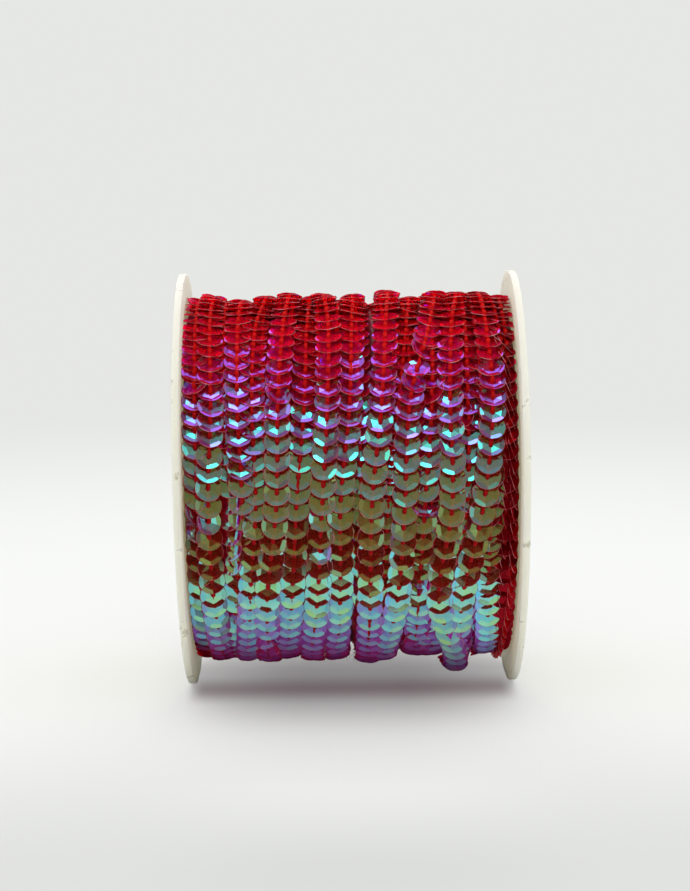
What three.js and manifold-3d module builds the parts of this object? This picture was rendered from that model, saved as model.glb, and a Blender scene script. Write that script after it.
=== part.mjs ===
// A roll of sequin trim. A string of 6 mm cup sequins is wound on a plastic reel,
// which stands on the rims of its two flanges.
// Millimetres, +Z up. +X runs along the reel's bore, and the front faces -Y.
// The origin is on the floor, under the middle of the roll.

import * as THREE from 'three';
import { mergeVertices } from 'three/addons/utils/BufferGeometryUtils.js';
import Module from 'manifold-3d';

const wasm = await Module();
wasm.setup();

// Driving dimensions: the reel
const FLANGE_RADIUS = 48;
const FLANGE_THICKNESS = 1.6;
const INNER_WIDTH = 73.8;
const HUB_RADIUS = 17;
const BORE_RADIUS = 15;
const FLAT_CHORD = 12; // the flat that each rim stands on
const LEAN_LEFT = THREE.MathUtils.degToRad(0.75); // outwards at the top
const LEAN_RIGHT = THREE.MathUtils.degToRad(0.47);
const CLEARANCE = 0.3; // between pieces that touch on the real roll

// Driving dimensions: the wound trim
const SEQUIN_RADIUS = 3;
const UNDER_LAYER_RADIUS = 41.4; // where the turns below show between the upper ones
const RIDGE_HEIGHT = 1.3; // from a turn's edge to its crest
const EDGE_ON_HALF_WIDTH = 1.1; // of the turn that stands on its edge
const DIVE_DEPTH = 1.8; // how far a turn sinks where it ends under its neighbours
const WANDER = 0.5; // sideways, across the back

// The turns that show, from left to right. Each one runs down the front from the crown to
// the foot, and up the back to the crown of the turn that its row names as next, or
// to its end under the others. crest is its radius from the reel's axis. The other columns
// are its distance from the middle of the reel, at six heights of the front.
const TURNS = [
  { turn: 1, crest: 42.3, crown: -33.7, brow: -33.8, high: -33.8, middle: -33.6, low: -33.6, foot: -33.4, next: null },
  { turn: 2, crest: 42.9, crown: -31.0, brow: -30.9, high: -30.4, middle: -31.2, low: -31.0, foot: -30.1, next: 1 },
  { turn: 3, crest: 42.0, crown: -24.4, brow: -24.7, high: -24.6, middle: -23.9, low: -25.8, foot: -27.2, next: 2 },
  { turn: 4, crest: 42.8, crown: -18.9, brow: -21.0, high: -21.5, middle: -20.9, low: -22.7, foot: -23.9, next: 3 },
  { turn: 5, crest: 43.4, crown: -13.4, brow: -14.7, high: -15.8, middle: -16.4, low: -18.9, foot: -19.4, next: 4 },
  { turn: 6, crest: 42.6, crown: -8.8, brow: -9.5, high: -10.1, middle: -12.0, low: -13.4, foot: -14.9, next: 5 },
  { turn: 7, crest: 43.3, crown: -5.7, brow: -4.6, high: -5.0, middle: -6.4, low: -7.7, foot: -9.3, next: 6 },
  { turn: 8, crest: 43.0, crown: 1.1, brow: 0.5, high: -0.2, middle: -2.4, low: -2.7, foot: -3.5, next: 7 },
  { turn: 9, crest: 43.8, crown: 9.2, brow: 8.1, high: 6.8, middle: 4.4, low: 4.0, foot: 3.6, next: 8 },
  { turn: 10, crest: 42.2, crown: 14.0, brow: 12.6, high: 10.5, middle: 8.0, low: 7.0, foot: 6.5, next: null },
  { turn: 11, crest: 43.4, crown: 20.0, brow: 17.7, high: 12.9, middle: 11.6, low: 10.2, foot: 7.6, next: 9 },
  { turn: 12, crest: 42.3, crown: 18.9, brow: 18.5, high: 17.8, middle: 16.0, low: 14.9, foot: 14.5, next: 10 },
  { turn: 13, crest: 43.4, crown: 25.0, brow: 22.8, high: 21.7, middle: 21.9, low: 20.5, foot: 22.8, next: 11 },
  { turn: 14, crest: 42.4, crown: 26.2, brow: 25.9, high: 25.6, middle: 25.2, low: 21.8, foot: 18.5, next: 12 },
  { turn: 15, crest: 43.3, crown: 30.1, brow: 30.5, high: 31.0, middle: 28.8, low: 24.6, foot: 24.4, next: 13 },
  { turn: 16, crest: 42.0, crown: 30.5, brow: 30.6, high: 30.6, middle: 30.4, low: 30.0, foot: 27.4, next: 14 },
  { turn: 17, crest: 42.4, crown: 32.8, brow: 33.0, high: 33.2, middle: 32.8, low: 32.0, foot: 31.8, next: 15 },
  { turn: 18, crest: 42.7, crown: 34.6, brow: 34.8, high: 35.2, middle: 34.9, low: 34.6, foot: 35.3, next: 17 },
];
const FRONT_COLUMNS = ['crown', 'brow', 'high', 'middle', 'low', 'foot'];
const FRONT_TOP = 90; // degrees above the front, at the crown
const FRONT_STEP = 30; // degrees from one column to the next
const FRONT_SPAN = FRONT_STEP * (FRONT_COLUMNS.length - 1);
const BACK_SPAN = 360 - FRONT_SPAN;
const EDGE_ON_TURN = 18;

// The slack in one turn, which hangs out under the roll at the lower right
const SLACK = { turn: 13, angle: -72, spread: 20, out: 1.9, aside: 1.4 };

// Steps of the meshes
const RIM_STEPS = 36; // on each half of a circle
const STEPS_AROUND = 72;
const STEPS_ACROSS = 60;

const AXIS_HEIGHT = Math.sqrt(FLANGE_RADIUS ** 2 - (FLAT_CHORD / 2) ** 2);
const INNER_HALF = INNER_WIDTH / 2;

// The flanges lean apart by different amounts, so the middle of the whole is moved to the origin.
const CENTRING = (FLANGE_RADIUS * (Math.tan(LEAN_LEFT) - Math.tan(LEAN_RIGHT))) / 2;

const solidFrom = (geometry) => {
  const bare = geometry.index ? geometry.toNonIndexed() : geometry.clone();
  bare.deleteAttribute('normal');
  bare.deleteAttribute('uv');
  const merged = mergeVertices(bare, 1e-4);
  const mesh = new wasm.Mesh({
    numProp: 3,
    vertProperties: Float32Array.from(merged.attributes.position.array),
    triVerts: Uint32Array.from(merged.index.array),
  });
  return new wasm.Manifold(mesh);
};

const geometryFrom = (solid) => {
  const { vertProperties, triVerts } = solid.getMesh();
  const geometry = new THREE.BufferGeometry();
  geometry.setAttribute('position', new THREE.BufferAttribute(vertProperties, 3));
  geometry.setIndex(new THREE.BufferAttribute(triVerts, 1));
  return geometry;
};

// The reel has settled under the winding's pressure, so what is near a flange leans with it.
// A point's sideways move grows from nothing at the middle of the reel to the flange's own lean.
const settle = (geometry) => {
  const { position } = geometry.attributes;
  for (let i = 0; i < position.count; i += 1) {
    const x = position.getX(i);
    const side = Math.sign(x);
    const lean = side < 0 ? LEAN_LEFT : LEAN_RIGHT;
    const share = Math.min(1, Math.abs(x) / INNER_HALF);
    const above = position.getZ(i) - AXIS_HEIGHT;
    position.setX(i, x + side * share * Math.tan(lean) * above + CENTRING);
  }
  geometry.computeVertexNormals();
  return geometry;
};

// A tube or disc along +X, from one place to another, about the reel's axis
const drum = (radius, from, to, flatChord = 0) => {
  const shape = new THREE.Shape();
  const half = flatChord ? Math.asin(flatChord / 2 / radius) : 0;
  shape.absarc(0, 0, radius, -Math.PI / 2 + half, (3 * Math.PI) / 2 - half, false);
  const geometry = new THREE.ExtrudeGeometry(shape, {
    depth: to - from,
    bevelEnabled: false,
    curveSegments: RIM_STEPS,
  });
  const aboutX = new THREE.Matrix4().makeBasis(
    new THREE.Vector3(0, 1, 0),
    new THREE.Vector3(0, 0, 1),
    new THREE.Vector3(1, 0, 0),
  );
  geometry.applyMatrix4(aboutX);
  geometry.translate(from, 0, AXIS_HEIGHT);
  return solidFrom(geometry);
};

// One moulding: a flange with half of the hub, bored through
const reelHalf = (side) => {
  const outer = INNER_HALF + FLANGE_THICKNESS;
  const overrun = 1;
  const span = (from, to) => (side < 0 ? [-to, -from] : [from, to]);
  const flange = drum(FLANGE_RADIUS, ...span(INNER_HALF, outer), FLAT_CHORD);
  const hub = drum(HUB_RADIUS, ...span(CLEARANCE / 2, INNER_HALF + FLANGE_THICKNESS / 2));
  const bore = drum(BORE_RADIUS, ...span(-overrun, outer + overrun));
  return settle(geometryFrom(flange.add(hub).subtract(bore)));
};

// A smooth curve through evenly spaced values, at a place counted in steps from the first
const through = (values, place) => {
  const last = values.length - 1;
  const i = Math.min(last - 1, Math.max(0, Math.floor(place)));
  const t = place - i;
  const at = (k) => values[Math.min(last, Math.max(0, k))];
  const [a, b, c, d] = [at(i - 1), at(i), at(i + 1), at(i + 2)];
  return b + (t * (c - a + t * (2 * a - 5 * b + 4 * c - d + t * (3 * (b - c) + d - a)))) / 2;
};

const smoothStep = (t) => t * t * (3 - 2 * t);
const turnNamed = (number) => TURNS.find((row) => row.turn === number);

// Where a turn lies when it has run so many degrees from its crown: its distance from
// the middle of the reel, and the radius of its crest
const turnAt = (row, run) => {
  const angle = FRONT_TOP - run;
  const bulge = row.turn === SLACK.turn ? Math.exp(-(((angle - SLACK.angle) / SLACK.spread) ** 2)) : 0;
  const crest = row.crest + SLACK.out * bulge;
  const aside = SLACK.aside * bulge;
  if (run <= FRONT_SPAN) {
    return { x: through(FRONT_COLUMNS.map((name) => row[name]), run / FRONT_STEP) + aside, crest };
  }
  const share = (run - FRONT_SPAN) / BACK_SPAN;
  const goal = row.next ? turnNamed(row.next) : { crown: row.foot, crest: row.crest - DIVE_DEPTH };
  const eased = smoothStep(share);
  const wander = WANDER * Math.sin(2 * Math.PI * share + row.turn) * Math.sin(Math.PI * share);
  return {
    x: row.foot + (goal.crown - row.foot) * eased + wander + aside,
    crest: crest + (goal.crest - row.crest) * eased,
  };
};

// The radius of the winding's surface at one place: the highest of the turns that pass it
const surfaceRadius = (x, places) => {
  let radius = UNDER_LAYER_RADIUS;
  for (const { turn, x: centre, crest } of places) {
    const halfWidth = turn === EDGE_ON_TURN ? EDGE_ON_HALF_WIDTH : SEQUIN_RADIUS;
    const off = (x - centre) / halfWidth;
    if (Math.abs(off) < 1) {
      radius = Math.max(radius, crest - RIDGE_HEIGHT * (1 - Math.sqrt(1 - off * off)));
    }
  }
  return radius;
};

// The winding is a ring about the hub. Each step around it is one closed outline: the ridged
// surface from left to right, and back along the hub.
const windingRing = () => {
  const halfWidth = INNER_HALF - CLEARANCE;
  const inner = HUB_RADIUS + CLEARANCE;
  const points = [];
  const outlineLength = STEPS_ACROSS + 3;
  for (let i = 0; i < STEPS_AROUND; i += 1) {
    const run = (360 * i) / STEPS_AROUND;
    const angle = THREE.MathUtils.degToRad(FRONT_TOP - run);
    const places = TURNS.map((row) => ({ turn: row.turn, ...turnAt(row, run) }));
    const outline = [];
    for (let j = 0; j <= STEPS_ACROSS; j += 1) {
      const x = halfWidth * ((2 * j) / STEPS_ACROSS - 1);
      outline.push([x, surfaceRadius(x, places)]);
    }
    outline.push([halfWidth, inner], [-halfWidth, inner]);
    for (const [x, radius] of outline) {
      points.push(x, -radius * Math.cos(angle), AXIS_HEIGHT + radius * Math.sin(angle));
    }
  }
  const faces = [];
  for (let i = 0; i < STEPS_AROUND; i += 1) {
    const here = i * outlineLength;
    const there = ((i + 1) % STEPS_AROUND) * outlineLength;
    for (let j = 0; j < outlineLength; j += 1) {
      const k = (j + 1) % outlineLength;
      faces.push(here + j, there + j, there + k, here + j, there + k, here + k);
    }
  }
  const geometry = new THREE.BufferGeometry();
  geometry.setAttribute('position', new THREE.Float32BufferAttribute(points, 3));
  geometry.setIndex(faces);
  return settle(geometry);
};

const reelPlastic = () => new THREE.MeshStandardMaterial({ color: 0xe6e4d2, roughness: 0.42, metalness: 0 });
const sequinFilm = () => new THREE.MeshStandardMaterial({ color: 0xa8102a, roughness: 0.25, metalness: 0.1 });

const piece = (name, geometry, material) => {
  const mesh = new THREE.Mesh(geometry, material);
  mesh.name = name;
  return mesh;
};

const sequinRoll = new THREE.Group();
sequinRoll.add(
  piece('reel_left', reelHalf(-1), reelPlastic()),
  piece('reel_right', reelHalf(1), reelPlastic()),
  piece('roll', windingRing(), sequinFilm()),
);

export default sequinRoll;
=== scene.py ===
import math
import random

import bmesh
import bpy
import numpy as np
from mathutils import Matrix, Vector


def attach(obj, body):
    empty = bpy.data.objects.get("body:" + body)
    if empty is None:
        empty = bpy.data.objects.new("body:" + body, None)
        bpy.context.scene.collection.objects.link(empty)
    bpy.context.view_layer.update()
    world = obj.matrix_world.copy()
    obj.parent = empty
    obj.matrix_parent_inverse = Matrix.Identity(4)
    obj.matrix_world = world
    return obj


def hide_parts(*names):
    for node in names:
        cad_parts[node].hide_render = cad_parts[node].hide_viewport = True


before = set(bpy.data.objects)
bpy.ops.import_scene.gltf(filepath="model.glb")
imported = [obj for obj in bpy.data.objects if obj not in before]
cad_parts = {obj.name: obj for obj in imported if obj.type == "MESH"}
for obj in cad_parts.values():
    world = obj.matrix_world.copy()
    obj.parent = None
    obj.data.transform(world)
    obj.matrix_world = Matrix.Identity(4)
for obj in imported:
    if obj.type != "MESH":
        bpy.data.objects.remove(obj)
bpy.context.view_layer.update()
MM = 0.001

# Camera. It stands about 54 cm in front of the roll, a hand above its axis, and looks
# slightly down, with a long lens. There is no cord on this object.
CAMERA_PLACE = (-5.06 * MM, -536.6 * MM, 123.04 * MM)
CAMERA_TURN = math.radians(0.445)  # towards +X
CAMERA_DIP = math.radians(7.226)
CAMERA_ROLL = math.radians(0.618)
CAMERA_LENS = 92.97

camera_data = bpy.data.cameras.new("camera")
camera_data.lens = CAMERA_LENS
camera_data.clip_start = 0.01
camera = bpy.data.objects.new("camera", camera_data)
bpy.context.scene.collection.objects.link(camera)
camera.matrix_world = (
    Matrix.Translation(CAMERA_PLACE)
    @ Matrix.Rotation(-CAMERA_TURN, 4, "Z")
    @ Matrix.Rotation(math.pi / 2 - CAMERA_DIP, 4, "X")
    @ Matrix.Rotation(-CAMERA_ROLL, 4, "Z")
)
bpy.context.scene.camera = camera

# The reel: two twin mouldings in milky polypropylene, each a thin flange with half of the
# hub tube, pushed together in the middle. Their rims stand on the floor, on a small flat,
# and both flanges lean outwards a little under the pressure of the winding.
FLANGE_RADIUS = 48 * MM
FLANGE_THICKNESS = 1.6 * MM
INNER_HALF = 36.9 * MM  # from the middle of the reel to a flange
HUB_RADIUS = 17 * MM
BORE_RADIUS = 15 * MM
FLAT_CHORD = 12 * MM
AXIS_HEIGHT = math.sqrt(FLANGE_RADIUS**2 - (FLAT_CHORD / 2) ** 2)
LEAN = {-1: math.tan(math.radians(0.75)), 1: math.tan(math.radians(0.47))}
CENTRING = FLANGE_RADIUS * (LEAN[-1] - LEAN[1]) / 2
HALVES_GAP = 0.3 * MM
RIM_STEPS = 192
DISH_OUTER = 45 * MM  # a shallow dish is sunk in the outer face, from here
DISH_INNER = 20 * MM
DISH_DEPTH = 0.3 * MM
EDGE_ROUNDING = 0.3 * MM


def settle(points):
    """Leans what is near a flange with it, and sets the whole in the middle of the frame."""
    side = np.where(points[:, 0] < 0, -1.0, 1.0)
    lean = np.where(points[:, 0] < 0, LEAN[-1], LEAN[1])
    share = np.minimum(1.0, np.abs(points[:, 0]) / INNER_HALF)
    moved = points.copy()
    moved[:, 0] += side * share * lean * (points[:, 2] - AXIS_HEIGHT) + CENTRING
    return moved


def settle_mesh(mesh):
    flat = np.empty(len(mesh.vertices) * 3)
    mesh.vertices.foreach_get("co", flat)
    mesh.vertices.foreach_set("co", settle(flat.reshape(-1, 3)).ravel())
    mesh.update()


def select_faces(piece, wanted):
    """Selects the faces whose centre and normal are as wanted, in edit mode."""
    bpy.ops.mesh.select_mode(type="FACE")
    bpy.ops.mesh.select_all(action="DESELECT")
    shell = bmesh.from_edit_mesh(piece.data)
    for face in shell.faces:
        face.select_set(wanted(face.calc_center_median(), face.normal))
    bmesh.update_edit_mesh(piece.data)


def select_edges(piece, wanted):
    """Selects the edges that are as wanted, in edit mode."""
    bpy.ops.mesh.select_mode(type="EDGE")
    bpy.ops.mesh.select_all(action="DESELECT")
    shell = bmesh.from_edit_mesh(piece.data)
    for edge in shell.edges:
        edge.select_set(wanted(edge))
    bmesh.update_edit_mesh(piece.data)


def reel_half(name, side):
    inner = INNER_HALF
    outer = INNER_HALF + FLANGE_THICKNESS
    bpy.ops.object.select_all(action="DESELECT")
    bpy.ops.mesh.primitive_cylinder_add(
        vertices=RIM_STEPS,
        radius=FLANGE_RADIUS,
        depth=FLANGE_THICKNESS,
        end_fill_type="NGON",
        location=((inner + outer) / 2, 0, AXIS_HEIGHT),
        rotation=(0, math.pi / 2, 0),
    )
    half = bpy.context.object
    half.name = half.data.name = name
    bpy.ops.object.transform_apply(location=True, rotation=True, scale=True)
    bpy.ops.object.mode_set(mode="EDIT")

    select_faces(half, lambda centre, normal: normal.x < -0.9)
    bpy.ops.mesh.inset(thickness=FLANGE_RADIUS - HUB_RADIUS, depth=0)
    reach = HALVES_GAP / 2 - inner
    bpy.ops.mesh.extrude_region_move(TRANSFORM_OT_translate={"value": (reach, 0, 0)})
    bpy.ops.mesh.inset(thickness=HUB_RADIUS - BORE_RADIUS, depth=0)
    bpy.ops.mesh.delete(type="ONLY_FACE")

    select_faces(half, lambda centre, normal: normal.x > 0.9)
    bpy.ops.mesh.inset(thickness=FLANGE_RADIUS - DISH_OUTER, depth=0)
    bpy.ops.mesh.inset(thickness=DISH_DEPTH, depth=-DISH_DEPTH)
    bpy.ops.mesh.inset(thickness=DISH_OUTER - DISH_DEPTH - DISH_INNER, depth=0)
    bpy.ops.mesh.inset(thickness=DISH_DEPTH, depth=DISH_DEPTH)
    bpy.ops.mesh.inset(thickness=DISH_INNER - DISH_DEPTH - BORE_RADIUS, depth=0)
    bpy.ops.mesh.delete(type="ONLY_FACE")
    select_edges(half, lambda edge: edge.is_boundary)
    bpy.ops.mesh.bridge_edge_loops()

    bpy.ops.mesh.select_all(action="SELECT")
    bpy.ops.mesh.bisect(plane_co=(0, 0, 0), plane_no=(0, 0, 1), use_fill=True, clear_inner=True)
    if side < 0:
        bpy.ops.mesh.select_all(action="SELECT")
        bpy.ops.transform.resize(value=(-1, 1, 1), center_override=(0, 0, 0))
    bpy.ops.mesh.select_all(action="SELECT")
    bpy.ops.mesh.normals_make_consistent(inside=False)
    bpy.ops.object.mode_set(mode="OBJECT")

    rounding = half.modifiers.new("rounded edges", "BEVEL")
    rounding.width = EDGE_ROUNDING
    rounding.segments = 3
    rounding.limit_method = "ANGLE"
    rounding.angle_limit = math.radians(40)
    bpy.ops.object.modifier_apply(modifier=rounding.name)
    settle_mesh(half.data)
    bpy.ops.object.shade_smooth_by_angle(angle=math.radians(30))
    half.data.materials.clear()
    half.data.materials.append(milky_plastic)
    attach(half, "root")
    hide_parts(name)


def new_material(name):
    """An empty material and its nodes."""
    material = bpy.data.materials.new(name)
    material.use_nodes = True
    nodes = material.node_tree.nodes
    nodes.clear()
    nodes.new("ShaderNodeOutputMaterial").name = "output"
    return material, nodes


def join(output, socket):
    """Joins one node's output to another's input."""
    output.id_data.links.new(output, socket)


def feed(value, socket):
    """Sets a socket to a value, or joins another node's output to it."""
    if isinstance(value, bpy.types.NodeSocket):
        join(value, socket)
    else:
        socket.default_value = value


def ramped(nodes, value, stops):
    """The colour that a ramp with the given places and colours has at a value."""
    node = nodes.new("ShaderNodeValToRGB")
    ramp = node.color_ramp
    while len(ramp.elements) < len(stops):
        ramp.elements.new(1.0)
    for element, (place, colour) in zip(ramp.elements, stops):
        element.position = place
        element.color = (*colour, 1)
    join(value, node.inputs["Fac"])
    return node.outputs["Color"]


def ranged(nodes, value, low, high, to_low=0.0, to_high=1.0, way="LINEAR"):
    """A value taken from one range to another, and held at its ends."""
    node = nodes.new("ShaderNodeMapRange")
    node.interpolation_type = way
    limits = {"From Min": low, "From Max": high, "To Min": to_low, "To Max": to_high}
    for name, limit in limits.items():
        feed(limit, node.inputs[name])
    join(value, node.inputs["Value"])
    return node.outputs["Result"]


def reckoned(nodes, operation, *values, clamp=False):
    """The result of a Math node over numbers and other nodes' outputs."""
    node = nodes.new("ShaderNodeMath")
    node.operation = operation
    node.use_clamp = clamp
    for value, socket in zip(values, node.inputs):
        feed(value, socket)
    return node.outputs["Value"]


def vector_reckoned(nodes, operation, *values):
    """The result of a Vector Math node over vectors and other nodes' outputs."""
    node = nodes.new("ShaderNodeVectorMath")
    node.operation = operation
    for value, socket in zip(values, node.inputs):
        feed(value, socket)
    return node.outputs["Value" if operation in ("LENGTH", "DOT_PRODUCT") else "Vector"]


def noise(nodes, place, scale, detail):
    """Noise over a piece's own coordinates."""
    node = nodes.new("ShaderNodeTexNoise")
    node.inputs["Scale"].default_value = scale
    node.inputs["Detail"].default_value = detail
    join(place.outputs["Object"], node.inputs["Vector"])
    return node.outputs["Fac"]


def dented(nodes, height, strength, depth):
    """The surface's normal, bent by small dents of a depth in metres."""
    node = nodes.new("ShaderNodeBump")
    node.inputs["Strength"].default_value = strength
    node.inputs["Distance"].default_value = depth
    join(height, node.inputs["Height"])
    return node.outputs["Normal"]


def tinted(nodes, share, base, colour):
    """A base colour that goes over to another colour by a share."""
    node = nodes.new("ShaderNodeMix")
    node.data_type = "RGBA"
    node.inputs["B"].default_value = (*colour, 1)
    join(share, node.inputs["Factor"])
    join(base, node.inputs["A"])
    return node.outputs["Result"]


def milky_plastic_material():
    """Milky plastic with worn specks round the rim, and a painted glow where the trim lies behind
    it.
    """
    material, nodes = new_material("milky plastic")
    place = nodes.new("ShaderNodeTexCoord")
    plastic = nodes.new("ShaderNodeBsdfPrincipled")
    plastic.inputs["IOR"].default_value = 1.49
    plastic.inputs["Subsurface Weight"].default_value = 0.9
    plastic.inputs["Subsurface Radius"].default_value = (1.0, 0.95, 0.75)
    plastic.inputs["Subsurface Scale"].default_value = 9.0 * MM

    clouds = ramped(nodes, noise(nodes, place, scale=60, detail=4), [
        (0.30, (0.87, 0.84, 0.61)),
        (0.75, (0.91, 0.89, 0.69)),
    ])
    axis = (0, 0, AXIS_HEIGHT)
    from_axis = vector_reckoned(nodes, "SUBTRACT", place.outputs["Object"], axis)
    square_to_it = vector_reckoned(nodes, "MULTIPLY", from_axis, (0, 1, 1))
    radius = vector_reckoned(nodes, "LENGTH", square_to_it)
    decimetres = reckoned(nodes, "MULTIPLY", radius, 10)
    # Painted glow: a warm tint where the trim lies behind the flange, in place of the red trim's
    # light shining through the plastic.
    painted_glow_share = ramped(nodes, decimetres, [
        (0.155, (0.0, 0.0, 0.0)),
        (0.195, (0.6, 0.6, 0.6)),
        (0.360, (0.6, 0.6, 0.6)),
        (0.420, (0.0, 0.0, 0.0)),
    ])
    with_painted_glow = tinted(nodes, painted_glow_share, clouds, (1.0, 0.70, 0.42))
    on_rim = ramped(nodes, decimetres, [(0.462, (0, 0, 0)), (0.472, (1, 1, 1))])
    specks = ramped(nodes, noise(nodes, place, scale=240, detail=3), [
        (0.63, (0, 0, 0)),
        (0.70, (0.8, 0.8, 0.8)),
    ])
    marks = reckoned(nodes, "MULTIPLY", on_rim, specks)
    worn = tinted(nodes, marks, with_painted_glow, (0.34, 0.32, 0.25))
    join(worn, plastic.inputs["Base Color"])

    scuffs = noise(nodes, place, scale=900, detail=6)
    join(ranged(nodes, scuffs, 0.35, 0.70, 0.34, 0.52), plastic.inputs["Roughness"])
    join(dented(nodes, scuffs, strength=0.12, depth=0.1 * MM), plastic.inputs["Normal"])
    join(plastic.outputs["BSDF"], nodes["output"].inputs["Surface"])
    return material


milky_plastic = milky_plastic_material()
reel_half("reel_left", -1)
reel_half("reel_right", 1)

# The winding: one long string of trim, wound to and fro over the hub by hand, so its turns
# wander, cross and sink between each other. The upper turns are given here from left to
# right, and each runs up the back to the crown of the turn named as next.
TURNS = [  # turn, crest radius, place at crown, brow, high, middle, low and foot, in mm; next
    (1, 42.3, -34.2, -34.1, -33.9, -33.6, -33.6, -33.4, None),
    (2, 42.9, -31.0, -30.9, -30.4, -31.2, -31.0, -30.1, 1),
    (3, 42.0, -24.4, -24.7, -24.6, -23.9, -25.8, -27.2, 2),
    (4, 42.8, -18.9, -21.0, -21.5, -20.9, -22.7, -23.9, 3),
    (5, 43.4, -13.4, -14.7, -15.8, -16.4, -18.9, -19.4, 4),
    (6, 42.6, -8.8, -9.5, -10.1, -12.0, -13.4, -14.9, 5),
    (7, 43.3, -5.7, -4.6, -5.0, -6.4, -7.7, -9.3, 6),
    (8, 43.0, 1.1, 0.5, -0.2, -2.4, -2.7, -3.5, 7),
    (9, 43.8, 9.2, 8.1, 6.8, 4.4, 4.0, 3.6, 8),
    (10, 42.2, 14.0, 12.6, 10.5, 8.0, 7.0, 6.5, None),
    (11, 43.4, 20.0, 17.7, 12.9, 11.6, 10.2, 7.6, 9),
    (12, 42.3, 18.9, 18.5, 17.8, 16.0, 14.9, 14.5, 10),
    (13, 43.4, 25.0, 22.8, 21.7, 21.9, 19.2, 22.7, 11),
    (14, 42.4, 26.2, 25.9, 25.6, 25.2, 21.8, 18.5, 12),
    (15, 43.3, 30.1, 30.5, 31.0, 28.8, 24.6, 24.4, 13),
    (16, 42.0, 30.5, 30.6, 30.6, 30.4, 30.2, 31.0, 14),
    (17, 42.6, 32.6, 33.4, 34.7, 35.3, 35.2, 34.6, 15),
    (18, 42.7, 35.2, 35.2, 34.2, 33.4, 33.2, 33.2, 17),
]
ROWS = {row[0]: row for row in TURNS}
LIFTED_RUNS = [  # turn, from and to in degrees on from the crown, and mm it lies higher
    (3, 15, 82, 0.9),
    (4, 15, 80, -0.6),
    (6, 12, 62, -0.8),
    (7, 12, 75, 0.4),
    (9, 12, 75, 0.3),
    (10, 20, 70, -0.4),
    (14, 12, 60, -0.5),
    (15, 12, 80, 0.3),
]
LIFT_SOFT = 15.0  # degrees over which it rises to that, and over which it sinks again
SINK_SOFT = 25.0
FRONT_STEP = 30.0  # degrees from one column to the next, from the crown down
FRONT_SPAN = 150.0
DIVE_DEPTH = 1.8  # mm that a turn sinks where it ends under its neighbours
WANDER = 0.5  # mm sideways, across the back
SLACK_TURN = 13  # this turn hangs out at the lower right
SLACK_ANGLE = -72.0
SLACK_SPREAD = 20.0
SLACK_OUT = 1.9
SLACK_ASIDE = 1.4


def through(values, place):
    """A smooth curve through evenly spaced values."""
    i = min(len(values) - 2, max(0, int(place)))
    t = place - i
    a, b, c, d = (values[min(len(values) - 1, max(0, k))] for k in (i - 1, i, i + 1, i + 2))
    return b + t * (c - a + t * (2 * a - 5 * b + 4 * c - d + t * (3 * (b - c) + d - a))) / 2


def smooth_share(value, start, end):
    """From 0 to 1, smoothly, as the value goes from start to end."""
    share = min(1.0, max(0.0, (value - start) / (end - start)))
    return share * share * (3 - 2 * share)


def turn_at(row, run):
    """Distance from the middle and crest radius, in mm, so many degrees on from the crown."""
    turn, crest, foot, following = row[0], row[1], row[7], row[8]
    for lifted, start, end, height in LIFTED_RUNS:
        if lifted == turn:
            rise = smooth_share(run, start - LIFT_SOFT, start)
            rise *= smooth_share(run, end + SINK_SOFT, end)
            crest += height * rise
    bulge = 0.0
    if turn == SLACK_TURN:
        bulge = math.exp(-(((90 - run - SLACK_ANGLE) / SLACK_SPREAD) ** 2))
    crest += SLACK_OUT * bulge
    if run <= FRONT_SPAN:
        return through(row[2:8], run / FRONT_STEP) + SLACK_ASIDE * bulge, crest
    share = (run - FRONT_SPAN) / (360 - FRONT_SPAN)
    eased = share * share * (3 - 2 * share)
    goal_x, goal_crest = foot, row[1] - DIVE_DEPTH
    if following:
        goal_x, goal_crest = ROWS[following][2], ROWS[following][1]
    wander = WANDER * math.sin(2 * math.pi * share + turn) * math.sin(math.pi * share)
    x = foot + (goal_x - foot) * eased + wander + SLACK_ASIDE * bulge
    return x, crest + (goal_crest - row[1]) * eased


def on_roll(x, radius, angle):
    """A place on the roll, from mm and the angle above the front in degrees."""
    a = math.radians(angle)
    return Vector((x * MM, -radius * MM * math.cos(a), AXIS_HEIGHT + radius * MM * math.sin(a)))


# The sequins: 6 mm cups pressed from red film with a rainbow coating, six flat facets
# round a hexagon and a hole in the middle, their hollow side outwards. They overlap like
# scales, each one's lower edge over the next, and their cut edges are dark red with
# painted pale glints.
SEQUIN_RADIUS = 3.0 * MM
CUT_EDGE = 0.09 * MM
HEXAGON_RADIUS = 2.15 * MM
HOLE_RADIUS = 0.55 * MM
FACET_SLOPE = math.radians(15)
OUTLINE_SIDES = 18
CENTRE_SINK = 0.10 * MM
SEQUINS_A_TURN = 72
PITCH = 360 / SEQUINS_A_TURN
SEQUIN_TILT = 16.0  # degrees, lower edge outwards
CREST_TO_CENTRE = 1.15  # mm
# One sequin of each turn sits so many degrees above the front, and the rest follow from it.
DOT_PHASES = {1: 2.5, 2: 0.0, 3: 0.9, 4: 3.5, 5: 3.4, 6: 3.4, 7: 0.3, 8: 1.2, 9: 4.7, 10: 1.0,
              11: 2.5, 12: 3.8, 13: 1.9, 14: 0.4, 15: 2.1, 16: 3.0, 17: 0.8, 18: 4.0}
LEANING_TURNS = {1: -3, 2: -8, 3: 0, 4: -8, 5: 2, 6: -4, 7: 7, 8: -8, 9: 5, 10: 0, 11: -7, 12: 8,
                 13: 7, 14: -6, 15: -1, 16: -7}  # degrees, towards the left
EDGEWAYS_TURNS = {17: -77, 18: -80}  # these turn on edge, against the right flange
EDGEWAYS_FROM = 18.0  # degrees on from the crown, where that begins
EDGEWAYS_BY = 50.0
EDGEWAYS_UNTIL = 300.0
EDGEWAYS_GONE = 360.0
EDGEWAYS_SUNK = 1.2  # mm
EDGEWAYS_CALM = 3  # so many times less stray than the others
FLAT_AT_START = 9  # sequins of such a turn that lie flat and show their thread
FLAT_AT_END = 6
TIGHT_TURN = 18  # this one lies tight against the flange
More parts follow.
